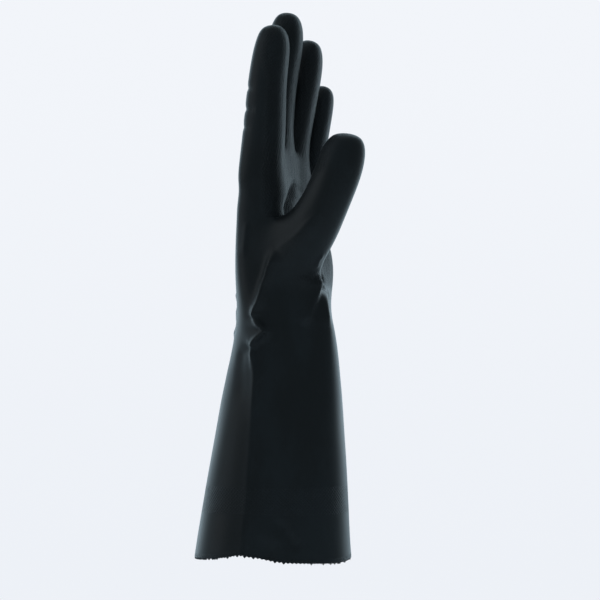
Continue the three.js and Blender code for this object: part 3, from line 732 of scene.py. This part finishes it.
def fold_lifts(skin, folds, strength):
    """How far the folds lift each point of the skin."""
    points = points_of(skin)
    lifts = np.zeros(len(points))
    for fold in folds:
        places, normals = trace(skin, fold)
        reach = FOLD_REACH * fold.width * (1 + abs(fold.skew)) * MM
        low, high = places.min(axis=0) - reach, places.max(axis=0) + reach
        near = np.nonzero(((points > low) & (points < high)).all(axis=1))[0]
        gaps = np.linalg.norm(points[near, None, :] - places[None, :, :], axis=2)
        closest = gaps.argmin(axis=1)
        away = gaps[np.arange(len(near)), closest]
        steps = np.linalg.norm(np.diff(places, axis=0), axis=1)
        run = np.concatenate(([0], np.cumsum(steps)))
        tangents = np.gradient(places, axis=0)
        leftward = np.cross(normals, tangents)
        side = np.sign(((points[near] - places[closest]) * leftward[closest]).sum(axis=1))
        width = fold.width * MM * (1 + fold.skew * side)
        profile = np.exp(-((away / width) ** fold.sharp))
        start = ramp(run[closest] / (fold.fade_in * MM)) if fold.fade_in else 1
        end = ramp((run[-1] - run[closest]) / (fold.fade_out * MM)) if fold.fade_out else 1
        lifts[near] += strength * fold.height * MM * profile * start * end
    return lifts


def refine_along(skin, folds):
    """Halves the faces around the crisp folds, so that they come out sharp."""
    mesh = skin.data
    centres = np.empty(len(mesh.polygons) * 3)
    mesh.polygons.foreach_get("center", centres)
    centres = centres.reshape(-1, 3)
    chosen = np.zeros(len(centres), dtype=bool)
    for fold in folds:
        places = trace(skin, fold)[0]
        reach = (CRISP_REACH * fold.width * (1 + abs(fold.skew)) + CRISP_MARGIN) * MM
        low, high = places.min(axis=0) - reach, places.max(axis=0) + reach
        near = np.nonzero(((centres > low) & (centres < high)).all(axis=1))[0]
        gaps = np.linalg.norm(centres[near, None, :] - places[None, :, :], axis=2)
        chosen[near] |= gaps.min(axis=1) < reach
    chosen &= centres[:, 2] > PLAIN_RIM * MM
    bpy.ops.object.mode_set(mode="EDIT")
    bpy.ops.mesh.select_mode(type="FACE")
    bpy.ops.mesh.select_all(action="DESELECT")
    bm = bmesh.from_edit_mesh(mesh)
    bm.faces.ensure_lookup_table()
    for index in np.nonzero(chosen)[0]:
        bm.faces[index].select = True
    bmesh.update_edit_mesh(mesh)
    bpy.ops.mesh.subdivide(number_cuts=1, smoothness=1.0)
    bpy.ops.mesh.select_mode(type="VERT")
    bpy.ops.object.mode_set(mode="OBJECT")


def stretch_to(length):
    """Sizes the skin, which is drawn as long as the CAD's, to another length."""
    size = length / CAD_TOP
    bpy.ops.transform.resize(value=(size, size, size), center_override=(0, 0, 0))
    bpy.ops.object.transform_apply(location=True, rotation=True, scale=True)


def select_mouth():
    """Selects the open edge of the sleeve."""
    bpy.ops.mesh.select_mode(type="EDGE")
    bpy.ops.mesh.select_all(action="DESELECT")
    bpy.ops.mesh.select_non_manifold(
        extend=False,
        use_wire=False,
        use_boundary=True,
        use_multi_face=False,
        use_non_contiguous=False,
        use_verts=False,
    )


def pink_mouth(skin, depth):
    """Cuts the sleeve's open edge into small teeth, as pinking shears do."""
    bpy.ops.object.mode_set(mode="EDIT")
    select_mouth()
    bpy.ops.mesh.extrude_region_move(TRANSFORM_OT_translate={"value": (0, 0, -depth * TOOTH_ROOT)})
    bm = bmesh.from_edit_mesh(skin.data)
    roots = {tuple(v.co) for v in bm.verts if v.select}
    bpy.ops.mesh.subdivide(number_cuts=1)
    bpy.ops.mesh.select_mode(type="VERT")
    bm = bmesh.from_edit_mesh(skin.data)
    tips = [v for v in bm.verts if v.select and tuple(v.co) not in roots]
    bpy.ops.mesh.select_all(action="DESELECT")
    for vert in tips:
        vert.select = True
    bmesh.update_edit_mesh(skin.data)
    bpy.ops.transform.translate(value=(0, 0, -depth))
    bpy.ops.mesh.select_random(ratio=LONG_TEETH, seed=TOOTH_SEED, action="DESELECT")
    bpy.ops.transform.translate(value=(0, 0, depth * SHORT_TOOTH))
    bpy.ops.object.mode_set(mode="OBJECT")


# Materials

def node(tree, kind, inputs=None, **settings):
    """Adds a node, sets it, and links or fills its inputs."""
    made = tree.nodes.new("ShaderNode" + kind)
    for name, value in settings.items():
        setattr(made, name, value)
    for key, value in (inputs or {}).items():
        if isinstance(value, bpy.types.NodeSocket):
            tree.links.new(value, made.inputs[key])
        else:
            made.inputs[key].default_value = value
    return made


def arithmetic(tree, operation, a, b=0.0):
    """The result of one step of arithmetic in a material."""
    return node(tree, "Math", {0: a, 1: b}, operation=operation).outputs[0]


def step_between(tree, value, low, high):
    """0 below low, 1 above high and a smooth ramp between."""
    made = node(
        tree,
        "MapRange",
        {"Value": value, "From Min": low, "From Max": high},
        interpolation_type="SMOOTHSTEP",
    )
    return made.outputs["Result"]


def diamonds(tree, around, along, pitch, stretch):
    """Height from 0 to 1 of small raised diamonds, longer along the skin than around it."""
    across = arithmetic(tree, "MULTIPLY", around, 1 / pitch)
    upward = arithmetic(tree, "MULTIPLY", along, 1 / (pitch * stretch))
    half = 0.5
    one = arithmetic(tree, "PINGPONG", arithmetic(tree, "ADD", across, upward), half)
    other = arithmetic(tree, "PINGPONG", arithmetic(tree, "SUBTRACT", across, upward), half)
    return step_between(tree, arithmetic(tree, "MINIMUM", one, other), *DIAMOND_FLANK)


def drawn_noise(tree, place, stretch, **inputs):
    """Noise that is drawn out along the glove."""
    drawn = node(tree, "VectorMath", {0: place, 1: stretch}, operation="MULTIPLY").outputs[0]
    return node(tree, "TexNoise", {"Vector": drawn, **inputs}).outputs["Fac"]


def rubber_relief(tree, settings, place, unrolled, grip_mask):
    """The grip with its fine wrinkles, the band near the mouth, the hem and the grain, as bumps."""
    around, along = unrolled.outputs[0], unrolled.outputs[1]
    grip = diamonds(tree, around, along, settings.grip_pitch, GRIP_STRETCH)
    grip_height = arithmetic(tree, "MULTIPLY", grip, grip_mask)
    lengthwise = drawn_noise(tree, place, WRINKLE_STRETCH, Scale=WRINKLE_SCALE, Detail=2.0)
    wrinkle_mask = arithmetic(tree, "MULTIPLY", grip_mask, WRINKLE_HEIGHT)
    wrinkles = arithmetic(tree, "MULTIPLY", lengthwise, wrinkle_mask)

    band_low = step_between(tree, along, settings.band_low, settings.band_low + BAND_EDGE)
    band_high = step_between(tree, along, settings.band_high - BAND_EDGE, settings.band_high)
    band_mask = arithmetic(tree, "SUBTRACT", band_low, band_high)
    hem_mask = step_between(tree, along, settings.hem, settings.hem / 2)
    embossed = arithmetic(tree, "ADD", arithmetic(tree, "MULTIPLY", band_mask, BAND_HEIGHT), hem_mask)
    band = diamonds(tree, around, along, settings.band_pitch, 1.0)
    band_height = arithmetic(tree, "MULTIPLY", band, embossed)

    height = arithmetic(tree, "ADD", arithmetic(tree, "ADD", grip_height, wrinkles), band_height)
    pattern = node(tree, "Bump", {"Height": height, "Distance": settings.grip_depth, "Strength": 1.0})
    fine = node(tree, "TexNoise", {"Vector": place, "Scale": GRAIN_SCALE, "Detail": 2.0, "Roughness": 0.6})
    grain = {"Height": fine.outputs["Fac"], "Distance": GRAIN_HEIGHT, "Strength": GRAIN_STRENGTH}
    return node(tree, "Bump", {**grain, "Normal": pattern.outputs[0]}).outputs[0]


def rubber_colour(tree, settings, along, clouds):
    """Black, with a dull cloudy bloom that is stronger near the mouth."""
    chalk = node(
        tree,
        "MapRange",
        {"Value": along, "From Max": settings.chalk_height, "To Min": CHALK_BLOOM, "To Max": 0.0},
    ).outputs["Result"]
    bloom = step_between(tree, arithmetic(tree, "ADD", clouds, chalk), *BLOOM_EDGE)
    shade = node(tree, "Mix", {"Factor": bloom}, data_type="RGBA")
    shade.inputs["A"].default_value = (*settings.rubber_colour, 1)
    shade.inputs["B"].default_value = (*settings.bloom_colour, 1)
    return shade.outputs["Result"]


def rubber_roughness(tree, settings, clouds, grip_mask):
    """Satin that varies with the clouds and is a little duller on the grip."""
    rough = node(
        tree,
        "MapRange",
        {
            "Value": clouds,
            "From Min": CLOUD_SPREAD[0],
            "From Max": CLOUD_SPREAD[1],
            "To Min": settings.roughness + ROUGHNESS_SPREAD[0],
            "To Max": settings.roughness + ROUGHNESS_SPREAD[1],
        },
    ).outputs["Result"]
    return arithmetic(tree, "ADD", rough, arithmetic(tree, "MULTIPLY", grip_mask, GRIP_ROUGHNESS))


def black_rubber(settings):
    """Satin black dipped rubber, with the diamond grip on the palm side and a band near the mouth."""
    material = bpy.data.materials.new("black dipped rubber")
    material.use_nodes = True
    tree = material.node_tree
    tree.nodes.clear()
    out = node(tree, "OutputMaterial")
    surface = node(tree, "BsdfPrincipled")
    place = node(tree, "TexCoord").outputs["Object"]
    unrolled = node(tree, "SeparateXYZ", {0: node(tree, "UVMap", uv_map="surface").outputs[0]})
    grip_side = node(tree, "Attribute", attribute_name="grip").outputs["Fac"]
    grip_mask = step_between(tree, grip_side, *GRIP_EDGE)
    clouds = drawn_noise(tree, place, CLOUD_STRETCH, Scale=CLOUD_SCALE, Detail=4.0, Roughness=0.55)
    surface.inputs["Specular IOR Level"].default_value = 0.5
    surface.inputs["IOR"].default_value = 1.52
    surface.inputs["Sheen Weight"].default_value = 0.04
    surface.inputs["Sheen Roughness"].default_value = 0.5
    colour = rubber_colour(tree, settings, unrolled.outputs[1], clouds)
    roughness = rubber_roughness(tree, settings, clouds, grip_mask)
    relief = rubber_relief(tree, settings, place, unrolled, grip_mask)
    tree.links.new(colour, surface.inputs["Base Color"])
    tree.links.new(roughness, surface.inputs["Roughness"])
    tree.links.new(relief, surface.inputs["Normal"])
    tree.links.new(surface.outputs[0], out.inputs["Surface"])
    return material


def plain_paint(name, colour, roughness):
    """An even matte finish for the stage."""
    material = bpy.data.materials.new(name)
    material.use_nodes = True
    surface = material.node_tree.nodes["Principled BSDF"]
    surface.inputs["Base Color"].default_value = (*colour, 1)
    surface.inputs["Roughness"].default_value = roughness
    return material


# Add-on

class GloveSettings(bpy.types.PropertyGroup):
    length: FloatProperty(
        name="Length",
        description="Height of the middle fingertip above the sleeve's mouth",
        default=CAD_TOP,
        unit="LENGTH",
    )
    wall: FloatProperty(
        name="Wall", description="Thickness of the dipped skin", default=1.2 * MM, unit="LENGTH"
    )
    smoothing: IntProperty(
        name="Smoothing", description="Levels of smoothing of the cage", default=3, min=1, max=4
    )
    fold_strength: FloatProperty(
        name="Fold strength", description="Height of the folds, 1 as drawn", default=1.0, subtype="FACTOR"
    )
    tooth_depth: FloatProperty(
        name="Tooth depth", description="Depth of the pinked rim's teeth", default=1.4 * MM, unit="LENGTH"
    )
    grip_pitch: FloatProperty(
        name="Grip pitch", description="Width of one grip diamond", default=1.9 * MM, unit="LENGTH"
    )
    grip_depth: FloatProperty(
        name="Grip depth", description="Height of a grip diamond", default=0.3 * MM, unit="LENGTH"
    )
    band_low: FloatProperty(
        name="Band bottom",
        description="Lower edge of the sleeve's diamond band",
        default=30 * MM,
        unit="LENGTH",
    )
    band_high: FloatProperty(
        name="Band top",
        description="Upper edge of the sleeve's diamond band",
        default=49.5 * MM,
        unit="LENGTH",
    )
    band_pitch: FloatProperty(
        name="Band pitch", description="Width of one diamond of the band", default=2.4 * MM, unit="LENGTH"
    )
    hem: FloatProperty(
        name="Hem", description="Height of the embossed strip above the rim", default=2.6 * MM, unit="LENGTH"
    )
    chalk_height: FloatProperty(
        name="Chalk height",
        description="How far up the sleeve the dull rim reaches",
        default=30 * MM,
        unit="LENGTH",
    )
    rubber_colour: FloatVectorProperty(
        name="Rubber",
        description="Colour of the rubber",
        default=(0.0055, 0.0078, 0.0092),
        subtype="COLOR",
    )
    bloom_colour: FloatVectorProperty(
        name="Bloom",
        description="Colour of the dull cloudy patches",
        default=(0.0125, 0.0175, 0.021),
        subtype="COLOR",
    )
    roughness: FloatProperty(
        name="Roughness", description="Roughness of the smooth rubber", default=0.42, subtype="FACTOR"
    )


class StageSettings(bpy.types.PropertyGroup):
    side: FloatProperty(
        name="Side", description="Side that the camera looks from", default=math.radians(15), subtype="ANGLE"
    )
    image_height: FloatProperty(
        name="Framed height",
        description="Height of what the camera frames",
        default=393.4 * MM,
        unit="LENGTH",
    )
    floor_drop: FloatProperty(
        name="Floor drop",
        description="How far below the mouth the floor lies",
        default=150 * MM,
        unit="LENGTH",
    )
    floor_colour: FloatVectorProperty(
        name="Floor", description="Colour of the floor", default=(0.8, 0.82, 0.85), subtype="COLOR"
    )
    backdrop_top: FloatVectorProperty(
        name="Backdrop top",
        description="Colour high behind the glove",
        default=(0.888, 0.912, 0.955),
        subtype="COLOR",
    )
    backdrop_bottom: FloatVectorProperty(
        name="Backdrop bottom",
        description="Colour low behind the glove",
        default=(0.85, 0.88, 0.93),
        subtype="COLOR",
    )
    front_light: FloatProperty(
        name="Front light", description="Brightness of the studio in front of the glove", default=0.19
    )
    back_light: FloatProperty(
        name="Back light", description="Brightness of the studio behind the glove", default=1.5
    )
    softbox_power: FloatProperty(
        name="Softbox power", description="Power of the left softbox", default=1.05, unit="POWER"
    )


class GLOVE_OT_skin(bpy.types.Operator):
    """Models the dipped skin of the glove and gives it its rubber"""

    bl_idname = "glove.skin"
    bl_label = "Dipped Skin"

    def execute(self, context):
        settings = context.scene.glove
        deselect_everything()
        bpy.ops.mesh.primitive_circle_add(
            vertices=RING, radius=TRUNK[0].width * MM, fill_type="NOTHING", location=(0, 0, 0)
        )
        skin = context.object
        skin.name = skin.data.name = SKIN_PIECE
        build_cage(skin)
        displace(skin, mound_lifts(skin), "mounds")
        smooth = skin.modifiers.new("smoothing", "SUBSURF")
        smooth.levels = smooth.render_levels = settings.smoothing
        bpy.ops.object.modifier_apply(modifier=smooth.name)
        displace(skin, mouth_lifts(skin), "mouth", "Z")
        refine_along(skin, [fold for fold in FOLDS if fold.width < CRISP_WIDTH])
        displace(skin, fold_lifts(skin, FOLDS, settings.fold_strength), "folds")
        stretch_to(settings.length)
        pink_mouth(skin, settings.tooth_depth)
        wall = skin.modifiers.new("wall", "SOLIDIFY")
        wall.thickness = settings.wall
        wall.offset = -1
        wall.use_rim = True
        bpy.ops.object.modifier_apply(modifier=wall.name)
        bpy.ops.object.shade_smooth()
        for name in ("number", "around", "turn", "along"):
            skin.data.attributes.remove(skin.data.attributes[name])
        skin.data.materials.append(black_rubber(settings))
        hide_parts(SKIN_NODE)
        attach(skin, "root")
        return {"FINISHED"}


class GLOVE_OT_stage(bpy.types.Operator):
    """Adds the floor, the soft studio light and the camera"""

    bl_idname = "glove.stage"
    bl_label = "Studio"

    def execute(self, context):
        settings = context.scene.glove_stage
        self.add_floor(settings)
        self.add_world(context, settings)
        self.add_lights(settings)
        self.add_camera(context, settings)
        return {"FINISHED"}

    def add_floor(self, settings):
        """A pale round floor under the glove."""
        deselect_everything()
        bpy.ops.mesh.primitive_circle_add(
            vertices=FLOOR_CORNERS,
            radius=FLOOR_RADIUS,
            fill_type="NGON",
            location=(0, 0, -settings.floor_drop),
        )
        floor = bpy.context.object
        floor.name = floor.data.name = "floor"
        bpy.ops.object.transform_apply(location=True, rotation=True, scale=True)
        floor.data.materials.append(plain_paint("pale floor", settings.floor_colour, FLOOR_ROUGHNESS))

    def add_world(self, context, settings):
        """A pale backdrop, bright behind the glove and dim in front of it."""
        world = bpy.data.worlds.new("studio")
        context.scene.world = world
        world.use_nodes = True
        tree = world.node_tree
        tree.nodes.clear()
        out = node(tree, "OutputWorld")
        direction = node(tree, "TexCoord").outputs["Generated"]
        parts = node(tree, "SeparateXYZ", {0: direction})
        outward = side_axes(math.degrees(settings.side))[1]
        height = step_between(tree, parts.outputs[2], *BACKDROP_BLEND)
        seen = node(tree, "Mix", {"Factor": height}, data_type="RGBA")
        seen.inputs["A"].default_value = (*settings.backdrop_bottom, 1)
        seen.inputs["B"].default_value = (*settings.backdrop_top, 1)
        behind = node(
            tree, "VectorMath", {0: direction, 1: tuple(-outward)}, operation="DOT_PRODUCT"
        ).outputs["Value"]
        glow = step_between(tree, behind, *STUDIO_GLOW)
        strength = node(
            tree, "MapRange", {"Value": glow, "To Min": settings.front_light, "To Max": settings.back_light}
        ).outputs["Result"]
        lit = node(tree, "Background", {"Color": (*STUDIO_COLOUR, 1), "Strength": strength})
        shown = node(tree, "Background", {"Color": seen.outputs["Result"], "Strength": 1.0})
        camera_ray = node(tree, "LightPath").outputs["Is Camera Ray"]
        both = node(tree, "MixShader", {0: camera_ray, 1: lit.outputs[0], 2: shown.outputs[0]})
        tree.links.new(both.outputs[0], out.inputs["Surface"])

    def add_lights(self, settings):
        """A softbox at each side and one above."""
        right, outward = side_axes(math.degrees(settings.side))
        up = Vector((0, 0, 1))
        for box in SOFTBOXES:
            light = bpy.data.lights.new(box.name, "AREA")
            light.shape = "RECTANGLE"
            light.size = box.width
            light.size_y = box.height
            light.energy = settings.softbox_power * box.share
            light.color = SOFTBOX_COLOUR
            softbox = bpy.data.objects.new(box.name, light)
            bpy.context.scene.collection.objects.link(softbox)
            place = right * box.right + outward * box.outward + up * box.up
            softbox.location = place
            softbox.rotation_euler = (place - up * SOFTBOX_AIM).to_track_quat("Z", "Y").to_euler()
            softbox.visible_camera = False

    def add_camera(self, context, settings):
        """The camera that frames the glove from its side."""
        camera_data = bpy.data.cameras.new("camera")
        camera = bpy.data.objects.new("camera", camera_data)
        context.scene.collection.objects.link(camera)
        right, outward = side_axes(math.degrees(settings.side))
        target = right * EYE_RIGHT + Vector((0, 0, EYE_HEIGHT))
        camera.location = target + outward * EYE_DISTANCE
        camera.rotation_euler = (math.pi / 2, 0, settings.side)
        camera_data.sensor_width = SENSOR_WIDTH
        camera_data.lens = camera_data.sensor_width * EYE_DISTANCE / settings.image_height
        camera_data.dof.use_dof = False
        context.scene.camera = camera
        context.scene.view_settings.view_transform = "Standard"


class GLOVE_PT_panel(bpy.types.Panel):
    """Shows the settings of the glove and of its stage, and the buttons that build them"""

    bl_label = "Dipped Gauntlet Glove"
    bl_space_type = "VIEW_3D"
    bl_region_type = "UI"
    bl_category = "Glove"

    def draw(self, context):
        for settings in (context.scene.glove, context.scene.glove_stage):
            for name in settings.__annotations__:
                self.layout.prop(settings, name)
        for operator in (GLOVE_OT_skin, GLOVE_OT_stage):
            self.layout.operator(operator.bl_idname)


CLASSES = (GloveSettings, StageSettings, GLOVE_OT_skin, GLOVE_OT_stage, GLOVE_PT_panel)


def register():
    for cls in CLASSES:
        bpy.utils.register_class(cls)
    bpy.types.Scene.glove = PointerProperty(type=GloveSettings)
    bpy.types.Scene.glove_stage = PointerProperty(type=StageSettings)


def unregister():
    del bpy.types.Scene.glove_stage
    del bpy.types.Scene.glove
    for cls in reversed(CLASSES):
        bpy.utils.unregister_class(cls)


def main():
    register()
    bpy.ops.glove.skin()
    bpy.ops.glove.stage()


if __name__ == "__main__":
    main()
